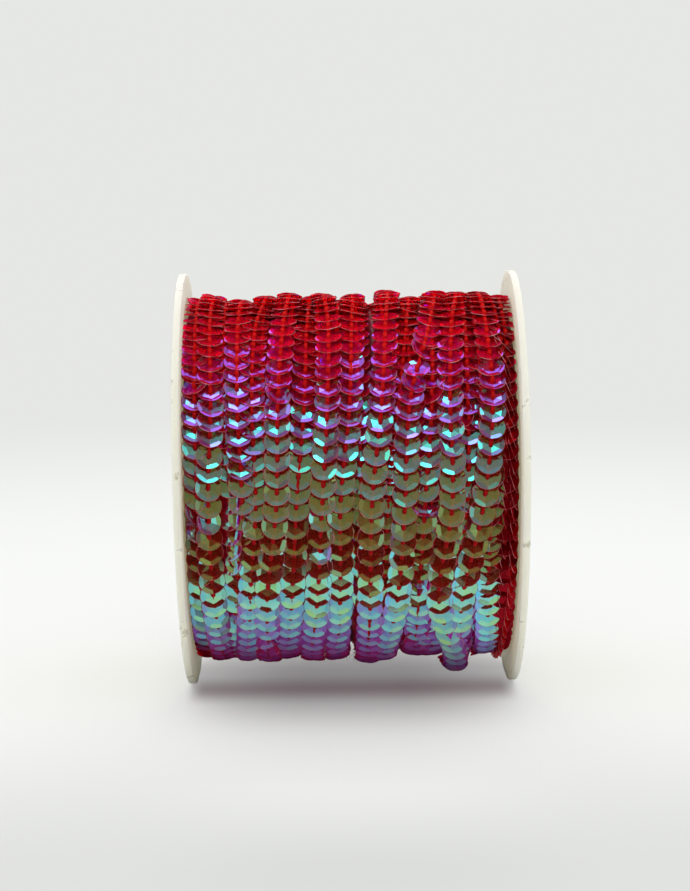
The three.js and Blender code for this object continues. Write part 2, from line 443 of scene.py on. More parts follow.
TIGHT_ASIDE = 0.7  # mm
TIGHT_SUNK = 1.5
TIGHT_FROM = 20
TIGHT_BY = 60
LAST_RUN = 359.9  # a turn isn't followed beyond this
TWISTED = {  # turn and place in it: degrees on, lean, spin and tilt of a sequin caught askew
    (11, 7): (-1.5, -16, 12, -4),
    (11, 8): (-2.2, -30, 22, -8),
    (11, 9): (0.6, 6, -10, 0),
    (11, 10): (0.5, -20, 14, -2),
    (12, 18): (0.0, -3, 25, 26),
    (15, 27): (0.0, -22, 10, -4),
    (15, 28): (0.3, -26, -8, -6),
}
TILTED_RUNS = [  # turn, from and to in degrees on from the crown, and tilt added
    (3, 36, 58, -7),
    (3, 66, 80, 9),
    (3, 116, 131, -4),
    (3, 134, 165, 5),
    (4, 116, 131, -4),
    (4, 134, 165, 5),
    (5, 128, 165, -2),
    (9, 116, 145, -4),
    (11, 128, 160, 4),
    (13, 116, 136, 6),
    (13, 136, 180, 13),
    (15, 128, 162, 5),
    (16, 128, 162, 6),
]
STEEPER_TURNS = (13, 15, 16)
FLATTER = 2.5  # degrees that the other turns lie flatter, low down on the front
FLATTER_FROM = 122.0
FLATTER_BY = 142.0
FLATTER_UNTIL = 165.0
FLATTER_GONE = 200.0
PLACE_SPREAD = 0.25  # how far the sequins stray from their place and tilt, in degrees
TILT_SPREAD = 2.0
ROLL_SPREAD = 2.4
SPIN_SPREAD = 6
SPUN_SHARE = 0.12  # some are spun further
SPUN_BY = 30
TIPPED_SHARE = 0.03  # and some are tipped to one side
TIPPED_BY = 22
chance = random.Random(2630)


def one_sequin():
    """One cup, flat on XY with its hollow side up and a corner of its hexagon towards -Y."""
    bpy.ops.object.select_all(action="DESELECT")
    bpy.ops.mesh.primitive_circle_add(vertices=6, radius=HEXAGON_RADIUS, fill_type="NGON")
    cup = bpy.context.object
    bpy.ops.object.mode_set(mode="EDIT")
    apothem = HEXAGON_RADIUS * math.cos(math.pi / 6)
    spread = (SEQUIN_RADIUS - CUT_EDGE) / apothem
    rise = (SEQUIN_RADIUS - CUT_EDGE - apothem) * math.tan(FACET_SLOPE)
    select_edges(cup, lambda edge: edge.is_boundary)
    bpy.ops.mesh.extrude_edges_move()
    bpy.ops.transform.resize(value=(spread, spread, 1), center_override=(0, 0, 0))
    bpy.ops.transform.translate(value=(0, 0, rise))
    for side in range(OUTLINE_SIDES):
        around = 2 * math.pi * (side + 0.5) / OUTLINE_SIDES
        normal = (math.cos(around), math.sin(around), 0)
        reach = (SEQUIN_RADIUS - CUT_EDGE) * math.cos(math.pi / OUTLINE_SIDES)
        edge_place = (normal[0] * reach, normal[1] * reach, 0)
        bpy.ops.mesh.select_all(action="SELECT")
        bpy.ops.mesh.bisect(plane_co=edge_place, plane_no=normal, clear_outer=True)
    select_faces(cup, lambda centre, normal: centre.xy.length < HOLE_RADIUS)
    bpy.ops.mesh.inset(thickness=apothem - HOLE_RADIUS * math.cos(math.pi / 6), depth=-CENTRE_SINK)
    bpy.ops.mesh.delete(type="FACE")
    select_edges(cup, lambda edge: edge.is_boundary and edge.verts[0].co.xy.length > HEXAGON_RADIUS)
    bpy.ops.mesh.extrude_edges_move()
    spread = SEQUIN_RADIUS / (SEQUIN_RADIUS - CUT_EDGE)
    bpy.ops.transform.resize(value=(spread, spread, 1), center_override=(0, 0, 0))
    bpy.ops.transform.translate(value=(0, 0, -CUT_EDGE))
    bpy.ops.mesh.select_all(action="SELECT")
    bpy.ops.mesh.remove_doubles(threshold=0.01 * MM)
    bpy.ops.object.mode_set(mode="OBJECT")
    points = np.array([v.co[:] for v in cup.data.vertices])
    faces = [tuple(p.vertices) for p in cup.data.polygons]
    on_rim = SEQUIN_RADIUS - CUT_EDGE / 2
    is_edge = [all(np.hypot(*points[i][:2]) > on_rim - CUT_EDGE for i in f) for f in faces]
    upwards = []
    for face in faces:
        a, b, c = (points[i] for i in face[:3])
        upwards.append(face if np.cross(b - a, c - a)[2] > 0 else face[::-1])
    bpy.data.objects.remove(cup)
    return points, upwards, is_edge


def sequin_stations(row):
    """How far on from the crown each sequin of a turn sits, in degrees."""
    first = (90 - DOT_PHASES[row[0]]) % PITCH
    front = int(FRONT_SPAN / PITCH) + 1
    runs = [first + PITCH * k for k in range(front)]
    end = 360 + ((90 - DOT_PHASES[row[8]]) % PITCH if row[8] else first)
    left = SEQUINS_A_TURN - front
    step = (end - runs[-1]) / (left + 1)
    return runs + [runs[-1] + step * (k + 1) for k in range(left)]


def seat(line, run, tilt, roll, spin):
    """A sequin's frame on its turn: across, up the string and out as columns, and its centre.

    The line gives the turn's distance from the middle and its crest, in mm, for a run.
    """
    angle = 90 - run
    a = math.radians(angle)
    out = Vector((0, -math.cos(a), math.sin(a)))
    down = Vector((0, -math.sin(a), -math.cos(a)))
    x, crest = line(run)
    radius = crest - CREST_TO_CENTRE
    slant = (line(run + 1)[0] - line(run - 1)[0]) / (radius * math.radians(2))
    down = (down + Vector((slant, 0, 0))).normalized()
    centre = on_roll(x, radius, angle)
    across = out.cross(down).normalized()
    tilted = Matrix.Rotation(math.radians(-tilt), 3, across)
    rolled = Matrix.Rotation(math.radians(roll), 3, down)
    turned = rolled @ tilted
    up, facing = turned @ -down, turned @ out
    side = up.cross(facing)
    spun = Matrix.Rotation(math.radians(spin), 3, facing)
    columns = Matrix((spun @ side, spun @ up, facing)).transposed()
    return columns, Matrix((side, up, facing)).transposed(), centre


def joined_sequins(name, seats, material, edge):
    """One mesh of copies of the cup, with a number for each cup's coating."""
    points, faces, is_edge = CUP
    count = len(points)
    all_points = np.concatenate(
        [points @ np.array(columns).T + np.array(centre) for columns, _, centre in seats]
    )
    all_faces = [tuple(i + k * count for i in face) for k in range(len(seats)) for face in faces]
    mesh = bpy.data.meshes.new(name)
    mesh.from_pydata(settle(all_points).tolist(), [], all_faces)
    mesh.materials.append(material)
    mesh.materials.append(edge)
    mesh.polygons.foreach_set("material_index", [int(e) for e in is_edge] * len(seats))
    coating = mesh.attributes.new("coating", "FLOAT", "FACE")
    values = [chance.random() for _ in seats]
    coating.data.foreach_set("value", [v for v in values for _ in faces])
    piece = bpy.data.objects.new(name, mesh)
    bpy.context.scene.collection.objects.link(piece)
    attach(piece, "root")
    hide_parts("roll")


RAINBOW = [  # how slantwise the film is seen, and the colour of its coating
    (0.000, (0.24, 0.54, 0.14)),
    (0.025, (0.20, 0.59, 0.22)),
    (0.055, (0.18, 0.67, 0.36)),
    (0.080, (0.15, 0.66, 0.53)),
    (0.130, (0.07, 0.65, 0.69)),
    (0.185, (0.07, 0.55, 0.82)),
    (0.245, (0.15, 0.36, 0.86)),
    (0.310, (0.21, 0.20, 0.84)),
    (0.400, (0.23, 0.12, 0.73)),
    (0.540, (0.24, 0.09, 0.60)),
    (0.640, (0.29, 0.10, 0.54)),
    (0.740, (0.34, 0.12, 0.54)),
    (0.830, (0.37, 0.11, 0.34)),
    (0.900, (0.41, 0.11, 0.18)),
    (0.950, (0.52, 0.28, 0.30)),
    (1.000, (0.90, 0.75, 0.75)),
]
BARE_BACK = [  # the same for the back of the film, which has no coating
    (0.000, (0.20, 0.004, 0.010)),
    (0.700, (0.24, 0.010, 0.022)),
    (0.920, (0.40, 0.080, 0.110)),
    (1.000, (0.80, 0.400, 0.420)),
]
COATING_SPREAD = 0.015  # how far a sequin's colours stray on that scale


def added(nodes, first, second):
    """Two shaders, one on top of the other."""
    both = nodes.new("ShaderNodeAddShader")
    join(first.outputs[0], both.inputs[0])
    join(second.outputs[0], both.inputs[1])
    return both


def film_material(name, finish, depth):
    """Red film that lets light through, with a finish whose colour follows the angle."""
    clear = lambda red, green, blue: (red * depth, green, blue)
    material, nodes = new_material(name)
    angle = nodes.new("ShaderNodeLayerWeight")
    angle.inputs["Blend"].default_value = 0.5
    facing = angle.outputs["Facing"]
    coating = nodes.new("ShaderNodeAttribute")
    coating.attribute_name = "coating"
    spread = ranged(nodes, coating.outputs["Fac"], 0, 1, -COATING_SPREAD, COATING_SPREAD)
    shifted = reckoned(nodes, "ADD", facing, spread)
    mirror = nodes.new("ShaderNodeBsdfGlossy")
    mirror.inputs["Roughness"].default_value = 0.11
    join(ramped(nodes, shifted, finish), mirror.inputs["Color"])
    place = nodes.new("ShaderNodeTexCoord")
    crinkles = noise(nodes, place, scale=700, detail=2)
    join(dented(nodes, crinkles, strength=0.04, depth=0.05 * MM), mirror.inputs["Normal"])
    clearness = ramped(nodes, facing, [
        (0.00, clear(0.40, 0.002, 0.008)),
        (0.15, clear(0.42, 0.002, 0.010)),
        (0.45, clear(0.62, 0.004, 0.024)),
        (0.65, clear(0.84, 0.006, 0.030)),
    ])
    window = nodes.new("ShaderNodeBsdfTransparent")
    join(clearness, window.inputs["Color"])
    cloudiness = ramped(nodes, facing, [
        (0.15, clear(0.088, 0.0004, 0.001)),
        (0.45, clear(0.105, 0.0010, 0.007)),
        (0.65, clear(0.200, 0.0030, 0.012)),
    ])
    haze = nodes.new("ShaderNodeBsdfDiffuse")
    join(cloudiness, haze.inputs["Color"])
    whole = added(nodes, mirror, added(nodes, haze, window))
    join(whole.outputs["Shader"], nodes["output"].inputs["Surface"])
    return material


def cut_edge_material(name, shift):
    """The edge of the film: dark red, with painted pale glints here and there."""
    material, nodes = new_material(name)
    place = nodes.new("ShaderNodeTexCoord")
    # Painted highlights: noise makes parts of the edge pale, as glints where it catches the light;
    # the rest is dark red.
    painted_edge_glints = ramped(nodes, noise(nodes, place, scale=420, detail=2), [
        (0.47 - shift, (0.26, 0.010, 0.020)),
        (0.66 - shift, (0.55, 0.140, 0.160)),
        (0.84, (0.90, 0.600, 0.620)),
    ])
    edge = nodes.new("ShaderNodeBsdfPrincipled")
    edge.inputs["Roughness"].default_value = 0.25
    edge.inputs["Specular IOR Level"].default_value = 0.25
    join(painted_edge_glints, edge.inputs["Base Color"])
    join(edge.outputs["BSDF"], nodes["output"].inputs["Surface"])
    return material


film = film_material("red film", RAINBOW, 1.0)
bare_film = film_material("bare red film", BARE_BACK, 0.68)
cut_edge = cut_edge_material("cut edge", 0.05)
more_glinting_edge = cut_edge_material("cut edge with more painted glints", 0.07)
CUP = one_sequin()


def on_edge(row, run):
    """How far a turn stands on edge, from 0 to 1, with its angle there."""
    share = smooth_share(run, EDGEWAYS_FROM, EDGEWAYS_BY)
    share *= smooth_share(run, EDGEWAYS_GONE, EDGEWAYS_UNTIL)
    return share, EDGEWAYS_TURNS.get(row[0], 0) * share


def upper_line(row, run):
    """Where the sequins of an upper turn lie, with its crest there, both in mm."""
    x, crest = turn_at(row, min(LAST_RUN, max(0.0, run)))
    share = on_edge(row, run)[0]
    if row[0] in EDGEWAYS_TURNS:
        crest -= EDGEWAYS_SUNK * share
    if row[0] == TIGHT_TURN:
        x -= TIGHT_ASIDE * (1 - share)
        crest -= TIGHT_SUNK * smooth_share(run, TIGHT_FROM, TIGHT_BY)
    return x, crest


upper_seats = {}
for row in TURNS:
    line = lambda run, row=row: upper_line(row, run)
    seats = []
    for place, run in enumerate(sequin_stations(row)):
        further_on = chance.gauss(0, PLACE_SPREAD)
        tilt = SEQUIN_TILT + chance.gauss(0, TILT_SPREAD)
        roll = chance.gauss(0, ROLL_SPREAD)
        spin = chance.gauss(0, SPIN_SPREAD)
        if chance.random() < SPUN_SHARE:
            spin = chance.uniform(-SPUN_BY, SPUN_BY)
        if chance.random() < TIPPED_SHARE:
            roll += chance.choice((-TIPPED_BY, TIPPED_BY))
        roll += LEANING_TURNS.get(row[0], 0)
        if row[0] in EDGEWAYS_TURNS:
            roll = roll / EDGEWAYS_CALM + on_edge(row, run)[1]
        if row[0] not in STEEPER_TURNS:
            low_down = smooth_share(run, FLATTER_FROM, FLATTER_BY)
            tilt -= FLATTER * low_down * smooth_share(run, FLATTER_GONE, FLATTER_UNTIL)
        for turn, first, last, more in TILTED_RUNS:
            if row[0] == turn and first < run < last:
                tilt += more
        if (row[0], place) in TWISTED:
            further_on, roll, spin, more = TWISTED[row[0], place]
            tilt = SEQUIN_TILT + more
        seats.append(seat(line, run + further_on, tilt, roll, spin))
    upper_seats[row[0]] = seats
flat_turns = [turn for turn in upper_seats if turn not in EDGEWAYS_TURNS]
seen_threads = [upper_seats[turn] for turn in flat_turns]
for turn in EDGEWAYS_TURNS:
    seen_threads += [upper_seats[turn][:FLAT_AT_START], upper_seats[turn][-FLAT_AT_END:]]
flat_seats = [s for turn in flat_turns for s in upper_seats[turn]]
edge_seats = [s for turn in EDGEWAYS_TURNS for s in upper_seats[turn]]
joined_sequins("upper_sequins", flat_seats, film, cut_edge)
joined_sequins("edge_sequins", edge_seats, bare_film, more_glinting_edge)

# The layer below: turns that lie a little deeper and show only in the gaps, wound in the
# same way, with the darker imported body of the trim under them. One of them is squeezed up
# on edge between two upper turns for a short way, and sinks below that.
UNDER_CREST = 41.4  # mm
UNDER_WAVE = 0.3
UNDER_TURNS = 14
UNDER_REACH = 34.0
UNDER_MARGIN = 0.8
UNDER_TILT_SPREAD = 3  # degrees
UNDER_ROLL_SPREAD = 5
SQUEEZED_TURN = 1
SQUEEZED_FROM = 88.0  # degrees on from the crown
SQUEEZED_TO = 110.0
SQUEEZED_ROLL = 30.0
SQUEEZED_ASIDE = 1.6  # mm
ASIDE_SOFT = 25  # degrees over which that comes and goes
SQUEEZED_OUT = 0.6
OUT_SOFT = 10
SUNK_BY = 2.0  # mm that it sinks after that run
SUNK_SOFT = 8
SUNK_UNTIL = 175
SUNK_GONE = 200
BODY_RADIUS = 39.2
BODY_HALF = 36.5
BODY_STEPS = 144
BODY_SLICES = 74
BODY_RIDGE = 0.5
RIDGE_PITCH = 5.6
RIDGE_SWAY = 1.2
HUB_GAP = 0.3


def squeezed_share(run, soft):
    """How much a place is in the squeezed run, from 0 to 1, with soft ends in degrees."""
    share = smooth_share(run, SQUEEZED_FROM - soft, SQUEEZED_FROM)
    return share * smooth_share(run, SQUEEZED_TO + soft, SQUEEZED_TO)


def under_line(turn, middle, sway, room, run):
    """Where the sequins of a turn of the layer below lie, with its crest, both in mm."""
    x = middle + room * math.sin(math.radians(run) + sway)
    crest = UNDER_CREST + UNDER_WAVE * math.sin(2 * math.radians(run) + sway)
    if turn == SQUEEZED_TURN:
        x += SQUEEZED_ASIDE * squeezed_share(run, ASIDE_SOFT)
        crest += SQUEEZED_OUT * squeezed_share(run, OUT_SOFT)
        past = smooth_share(run, SQUEEZED_TO, SQUEEZED_TO + SUNK_SOFT)
        crest -= SUNK_BY * past * smooth_share(run, SUNK_GONE, SUNK_UNTIL)
    return x, crest


under_seats = {}
for turn in range(UNDER_TURNS):
    middle = -UNDER_REACH + 2 * UNDER_REACH * turn / (UNDER_TURNS - 1)
    start = chance.uniform(0, PITCH)
    sway = chance.uniform(0, 2 * math.pi)
    room = min(1.0, (UNDER_REACH + UNDER_MARGIN - abs(middle)) / 2)
    line = lambda run, of=(turn, middle, sway, room): under_line(*of, run)
    seats = []
    for place in range(SEQUINS_A_TURN):
        tilt = SEQUIN_TILT + chance.gauss(0, UNDER_TILT_SPREAD)
        roll = chance.gauss(0, UNDER_ROLL_SPREAD)
        spin = chance.uniform(-SPUN_BY, SPUN_BY)
        run = start + PITCH * place
        if turn == SQUEEZED_TURN and SQUEEZED_FROM < run < SQUEEZED_TO:
            roll, spin = SQUEEZED_ROLL, 0
        seats.append(seat(line, run, tilt, roll, spin))
    under_seats[turn] = seats
against_flange = under_seats[UNDER_TURNS - 1]
coated = [s for seats in under_seats.values() for s in seats if seats is not against_flange]
joined_sequins("under_sequins", coated, film, cut_edge)
joined_sequins("under_edge_sequins", against_flange, bare_film, cut_edge)


def packed_film_material():
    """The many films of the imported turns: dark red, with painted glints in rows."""
    material, nodes = new_material("packed film")
    place = nodes.new("ShaderNodeTexCoord")
    cells = nodes.new("ShaderNodeTexVoronoi")
    cells.inputs["Scale"].default_value = 330
    join(place.outputs["Object"], cells.inputs["Vector"])
    from_cell = cells.outputs["Distance"]
    body = nodes.new("ShaderNodeBsdfPrincipled")
    body.inputs["Roughness"].default_value = 0.4
    # Painted glints: each cell is brighter red at its middle and fades to dark red towards its rim.
    painted_cell_glints = ramped(nodes, from_cell, [(0, (0.30, 0.004, 0.012)), (1, (0.05, 0.001, 0.004))])
    join(painted_cell_glints, body.inputs["Base Color"])
    join(dented(nodes, from_cell, strength=0.6, depth=0.4 * MM), body.inputs["Normal"])
    join(body.outputs["BSDF"], nodes["output"].inputs["Surface"])
    return material


def packed_body():
    """A ring round the hub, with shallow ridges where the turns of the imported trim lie."""
    bpy.ops.object.select_all(action="DESELECT")
    bpy.ops.mesh.primitive_cylinder_add(
        vertices=BODY_STEPS,
        radius=BODY_RADIUS * MM,
        depth=2 * BODY_HALF * MM,
        end_fill_type="NGON",
        location=(0, 0, AXIS_HEIGHT),
        rotation=(0, math.pi / 2, 0),
    )
    body = bpy.context.object
    body.name = body.data.name = "packed_trim"
    bpy.ops.object.transform_apply(location=True, rotation=True, scale=True)
    bpy.ops.object.mode_set(mode="EDIT")
    select_faces(body, lambda centre, normal: abs(normal.x) > 0.9)
    hole = (HUB_RADIUS / MM + HUB_GAP) * MM
    bpy.ops.mesh.inset(thickness=BODY_RADIUS * MM - hole, depth=0, use_individual=True)
    bpy.ops.mesh.delete(type="ONLY_FACE")
    select_edges(body, lambda edge: edge.is_boundary)
    bpy.ops.mesh.bridge_edge_loops()
    for i in range(1, BODY_SLICES):
        bpy.ops.mesh.select_all(action="SELECT")
        x = (2 * i / BODY_SLICES - 1) * BODY_HALF * MM
        bpy.ops.mesh.bisect(plane_co=(x, 0, 0), plane_no=(1, 0, 0))
    bpy.ops.mesh.select_all(action="SELECT")
    bpy.ops.mesh.normals_make_consistent(inside=False)
    bpy.ops.object.mode_set(mode="OBJECT")
    for v in body.data.vertices:
        radius = math.hypot(v.co.y, v.co.z - AXIS_HEIGHT)
        if radius < (hole + BODY_RADIUS * MM) / 2:
            continue
        angle = math.atan2(v.co.z - AXIS_HEIGHT, -v.co.y)
        ridge = math.sin(v.co.x / MM * 2 * math.pi / RIDGE_PITCH + RIDGE_SWAY * math.sin(angle))
        grow = 1 + BODY_RIDGE * ridge * MM / radius
        v.co.y *= grow
        v.co.z = AXIS_HEIGHT + (v.co.z - AXIS_HEIGHT) * grow
    settle_mesh(body.data)
    bpy.ops.object.shade_smooth_by_angle(angle=math.radians(40))
    body.data.materials.clear()
    body.data.materials.append(packed_film_material())
    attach(body, "root")
    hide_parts("roll")


packed_body()

# The thread: bright red, two-ply, chain-stitched. It comes over the upper part of each
# sequin, swells at the middle, goes down through the hole, and on to the next below.
THREAD_PATH = [  # down the string, out, and half the thread's width, in mm
    (-2.3, 0.30, 0.38),
    (-1.2, 0.36, 0.40),
    (-0.10, 0.42, 0.47),
    (0.12, -0.10, 0.43),
    (0.32, -0.50, 0.34),
]
THREAD_SIDES = 8
UNDER_THREAD_SIDES = 4
THREAD_TWIST = 0.9  # radians from one ring of the tube to the next
THREAD_LOBES = 0.16
SHELTERED_BELOW = 62 * MM  # painted shade: the thread is drawn darkest below this height, and brightest on top
OPEN_ABOVE = 82 * MM
SHELTERED_SHADE = 0.5


def red_thread_material():
    """Bright red thread with fine fibres. Low down it is darkened with painted shade."""
    material, nodes = new_material("red thread")
    place = nodes.new("ShaderNodeTexCoord")
    fibres = noise(nodes, place, scale=2600, detail=3)
    red = ramped(nodes, fibres, [(0.35, (0.55, 0.002, 0.003)), (0.65, (0.84, 0.012, 0.010))])
    split = nodes.new("ShaderNodeSeparateXYZ")
    join(place.outputs["Object"], split.inputs["Vector"])
    height = split.outputs["Z"]
    # Painted shade: the red is darkened low down, where the sequins shade the thread.
    painted_shade_factor = ranged(nodes, height, SHELTERED_BELOW, OPEN_ABOVE, SHELTERED_SHADE, 1)
    cotton = nodes.new("ShaderNodeBsdfPrincipled")
    cotton.inputs["Roughness"].default_value = 0.45
    cotton.inputs["Specular IOR Level"].default_value = 0.08
    join(vector_reckoned(nodes, "MULTIPLY", red, painted_shade_factor), cotton.inputs["Base Color"])
    join(dented(nodes, fibres, strength=0.7, depth=0.1 * MM), cotton.inputs["Normal"])
    join(cotton.outputs["BSDF"], nodes["output"].inputs["Surface"])
    return material


red_thread = red_thread_material()


def thread_rings(points, widths, sides):
    """A ring of sides at each point of a path, two-lobed and twisting."""
    points = np.array(points)
    ahead = np.roll(points, -1, axis=0) - np.roll(points, 1, axis=0)
    ahead[0] = points[1] - points[0]
    ahead[-1] = points[-1] - points[-2]
    ahead /= np.linalg.norm(ahead, axis=1)[:, None]
    axis = np.array([1.0, 0, 0])
    across = axis - ahead * (ahead @ axis)[:, None]
    across /= np.linalg.norm(across, axis=1)[:, None]
    up = np.cross(across, ahead)
    rings = []
    for i in range(len(points)):
        for k in range(sides):
            a = 2 * math.pi * k / sides
            lobe = 1 + THREAD_LOBES * math.cos(2 * (a - THREAD_TWIST * i))
            off = across[i] * math.cos(a) + up[i] * math.sin(a)
            rings.append(points[i] + off * widths[i] * lobe * MM)
    return rings


def add_thread(points, faces, path, widths, sides):
    """Adds one thread along a path to a mesh's points and faces, closed at both ends."""
    first = len(points)
    last = first + (len(path) - 1) * sides
    points += thread_rings(path, widths, sides)
    for ring in range(first, last, sides):
        for k in range(sides):
            a, b = ring + k, ring + (k + 1) % sides
            faces.append((a, b, b + sides, a + sides))
    faces.append(tuple(first + k for k in range(sides))[::-1])
    faces.append(tuple(last + k for k in range(sides)))


def thread_piece(name, points, faces, smooth):
    mesh = bpy.data.meshes.new(name)
    mesh.from_pydata(settle(np.array(points)).tolist(), [], faces)
    mesh.materials.append(red_thread)
    mesh.polygons.foreach_set("use_smooth", [smooth] * len(faces))
    piece = bpy.data.objects.new(name, mesh)
    bpy.context.scene.collection.objects.link(piece)
    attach(piece, "root")


def stitched_thread(name, strings, sides, steps):
    """The threads of many turns as one piece, so many steps from one knot to the next."""
    points, faces = [], []
    for seats in strings:
        knots, halves = [], []
        for _, plain, centre in seats:
            columns = np.array(plain)
            for down, out, half in THREAD_PATH:
                local = np.array((0, -down * MM, out * MM))
                knots.append(columns @ local + np.array(centre))
                halves.append(half)
        path, widths = [], []
        for i in range(len(knots) - 1):
            for s in range(steps):
                share = s / steps
                path.append(through(knots, i + share))
                widths.append(halves[i] * (1 - share) + halves[i + 1] * share)
        add_thread(points, faces, path, widths, sides)
    thread_piece(name, points, faces, True)


stitched_thread("upper_thread", seen_threads, THREAD_SIDES, 2)
stitched_thread("under_thread", under_seats.values(), UNDER_THREAD_SIDES, 1)

# The end of the thread: it is cut off, and its fibres have come loose and frayed. They
# stick out under the roll, left of the middle.
FRAYED_THREADS = [  # across, out and angle above the front, at the root and at the tip
    (2.3, 41.0, -73, 0.1, 43.0, -80),
    (2.2, 41.2, -75, 0.5, 43.4, -82),
    (2.4, 41.3, -76, 1.0, 43.7, -81),
    (1.9, 40.8, -74, -0.6, 42.4, -78),
    (2.0, 41.0, -75, 0.3, 42.3, -76),
    (-1.6, 41.6, -76, -1.0, 43.0, -79),
]
FRAYED_CURL = 0.35  # mm
FRAYED_HALF = 0.075  # mm, at the root
FRAYED_TAPER = 0.7
FRAYED_SIDES = 5
FRAYED_STEPS = 6


def frayed_end():
    points, faces = [], []
    for across, out, angle, tip_across, tip_out, tip_angle in FRAYED_THREADS:
        curl = chance.uniform(-FRAYED_CURL, FRAYED_CURL)
        path, widths = [], []
        for i in range(FRAYED_STEPS + 1):
            t = i / FRAYED_STEPS
            x = across + (tip_across - across) * t
            radius = out + (tip_out - out) * t + curl * math.sin(math.pi * t)
            path.append(on_roll(x, radius, angle + (tip_angle - angle) * t))
            widths.append(FRAYED_HALF * (1 - FRAYED_TAPER * t))
        add_thread(points, faces, path, widths, FRAYED_SIDES)
    thread_piece("frayed_end", points, faces, False)


frayed_end()

# The floor: white paper on a table, which runs into the pale background far off. Where the
# camera sees it, it carries a painted soft shadow of the roll, and in the sequins' mirror and
# to bounced light it is painted dark in places. It is stage only. Each pair below
# is where something begins and where it is full, in metres from the middle of the roll.
PALE = (0.790, 0.800, 0.775, 1)
FLOOR_RADIUS = 6
FAR_OFF = (0.12, 0.6)
MIRROR_ENDS = (0.095, 0.120)  # in front and behind, where the paper is painted black to the sequins' mirror
MIRROR_UNDER = (0.042, -0.015)  # under the roll, a painted shadow that they mirror and that dims bounced light
MIRROR_LEFT = (-0.026, -0.033)  # a painted shadow in the mirror beside the left flange, across and along
MIRROR_BESIDE = (0.085, 0.050)
MIRROR_LEFT_DARK = 0.65
WIDE_SHADOW = (0.010, 0.050)  # the wide painted shadow: where it is deepest, and where it ends
WIDE_AHEAD = 0.12  # how far each metre in front counts for it, and each metre behind
WIDE_BEHIND = 0.6
SHADOW_FILL = 0.21  # how bright the paper is in it, and how much more a little in front
FRONT_FILL = 0.17
FRONT_FROM = (0.022, 0.062)
FRONT_TO = (0.155, 0.095)
OPEN_FILL = 0.44  # how bright it is out of the shadow, and how much less near the camera
NEARER_FILL = -0.19
NEARER = (0.03, 0.16)
NARROW_MIDDLE = -0.014  # the narrow painted shadow right under the roll, a little red
NARROW_WIDTH = (0.016, 0.000)
NARROW_LENGTH = (0.039, 0.034)
NARROW_SHARE = 0.5
FILM_SHARE = 0.75  # painted shade: how much darker the paper is drawn behind each film

bpy.ops.object.select_all(action="DESELECT")
bpy.ops.mesh.primitive_circle_add(vertices=96, radius=FLOOR_RADIUS, fill_type="NGON")
floor = bpy.context.object
floor.name = "floor"


def eased(nodes, value, start, end):
    """A number that goes smoothly from 0 to 1 as the value goes from start to end."""
    return ranged(nodes, value, start, end, way="SMOOTHSTEP")


def product(nodes, first, second):
    return reckoned(nodes, "MULTIPLY", first, second)


def mixed(nodes, share, first, second):
    """Two shaders, mixed by a share of the second."""
    both = nodes.new("ShaderNodeMixShader")
    join(share, both.inputs["Fac"])
    join(first.outputs[0], both.inputs[1])
    join(second.outputs[0], both.inputs[2])
    return both


def mirrored_floor(nodes, ray, x, y, black):
    """White paper for light that bounces, with painted shade: darker to the sequins that mirror it,
    and under the roll to bounced light.
    """
    paper = nodes.new("ShaderNodeBsdfDiffuse")
    paper.inputs["Color"].default_value = (0.80, 0.82, 0.79, 1)
    off_axis = reckoned(nodes, "ABSOLUTE", y)
    ended = eased(nodes, off_axis, *MIRROR_ENDS)
    under = eased(nodes, off_axis, *MIRROR_UNDER)
    beside = eased(nodes, off_axis, *MIRROR_BESIDE)
    by_flange = product(nodes, eased(nodes, x, *MIRROR_LEFT), beside)
    near = reckoned(nodes, "MULTIPLY_ADD", by_flange, MIRROR_LEFT_DARK, under, clamp=True)
    # Painted shade: where the paper turns black to mirrored and bounced rays.
    painted_dark = reckoned(nodes, "ADD", ended, near)
    in_mirror = product(nodes, painted_dark, ray.outputs["Is Glossy Ray"])
    in_bounce = product(nodes, under, ray.outputs["Is Diffuse Ray"])
    return mixed(nodes, reckoned(nodes, "ADD", in_mirror, in_bounce), paper, black)


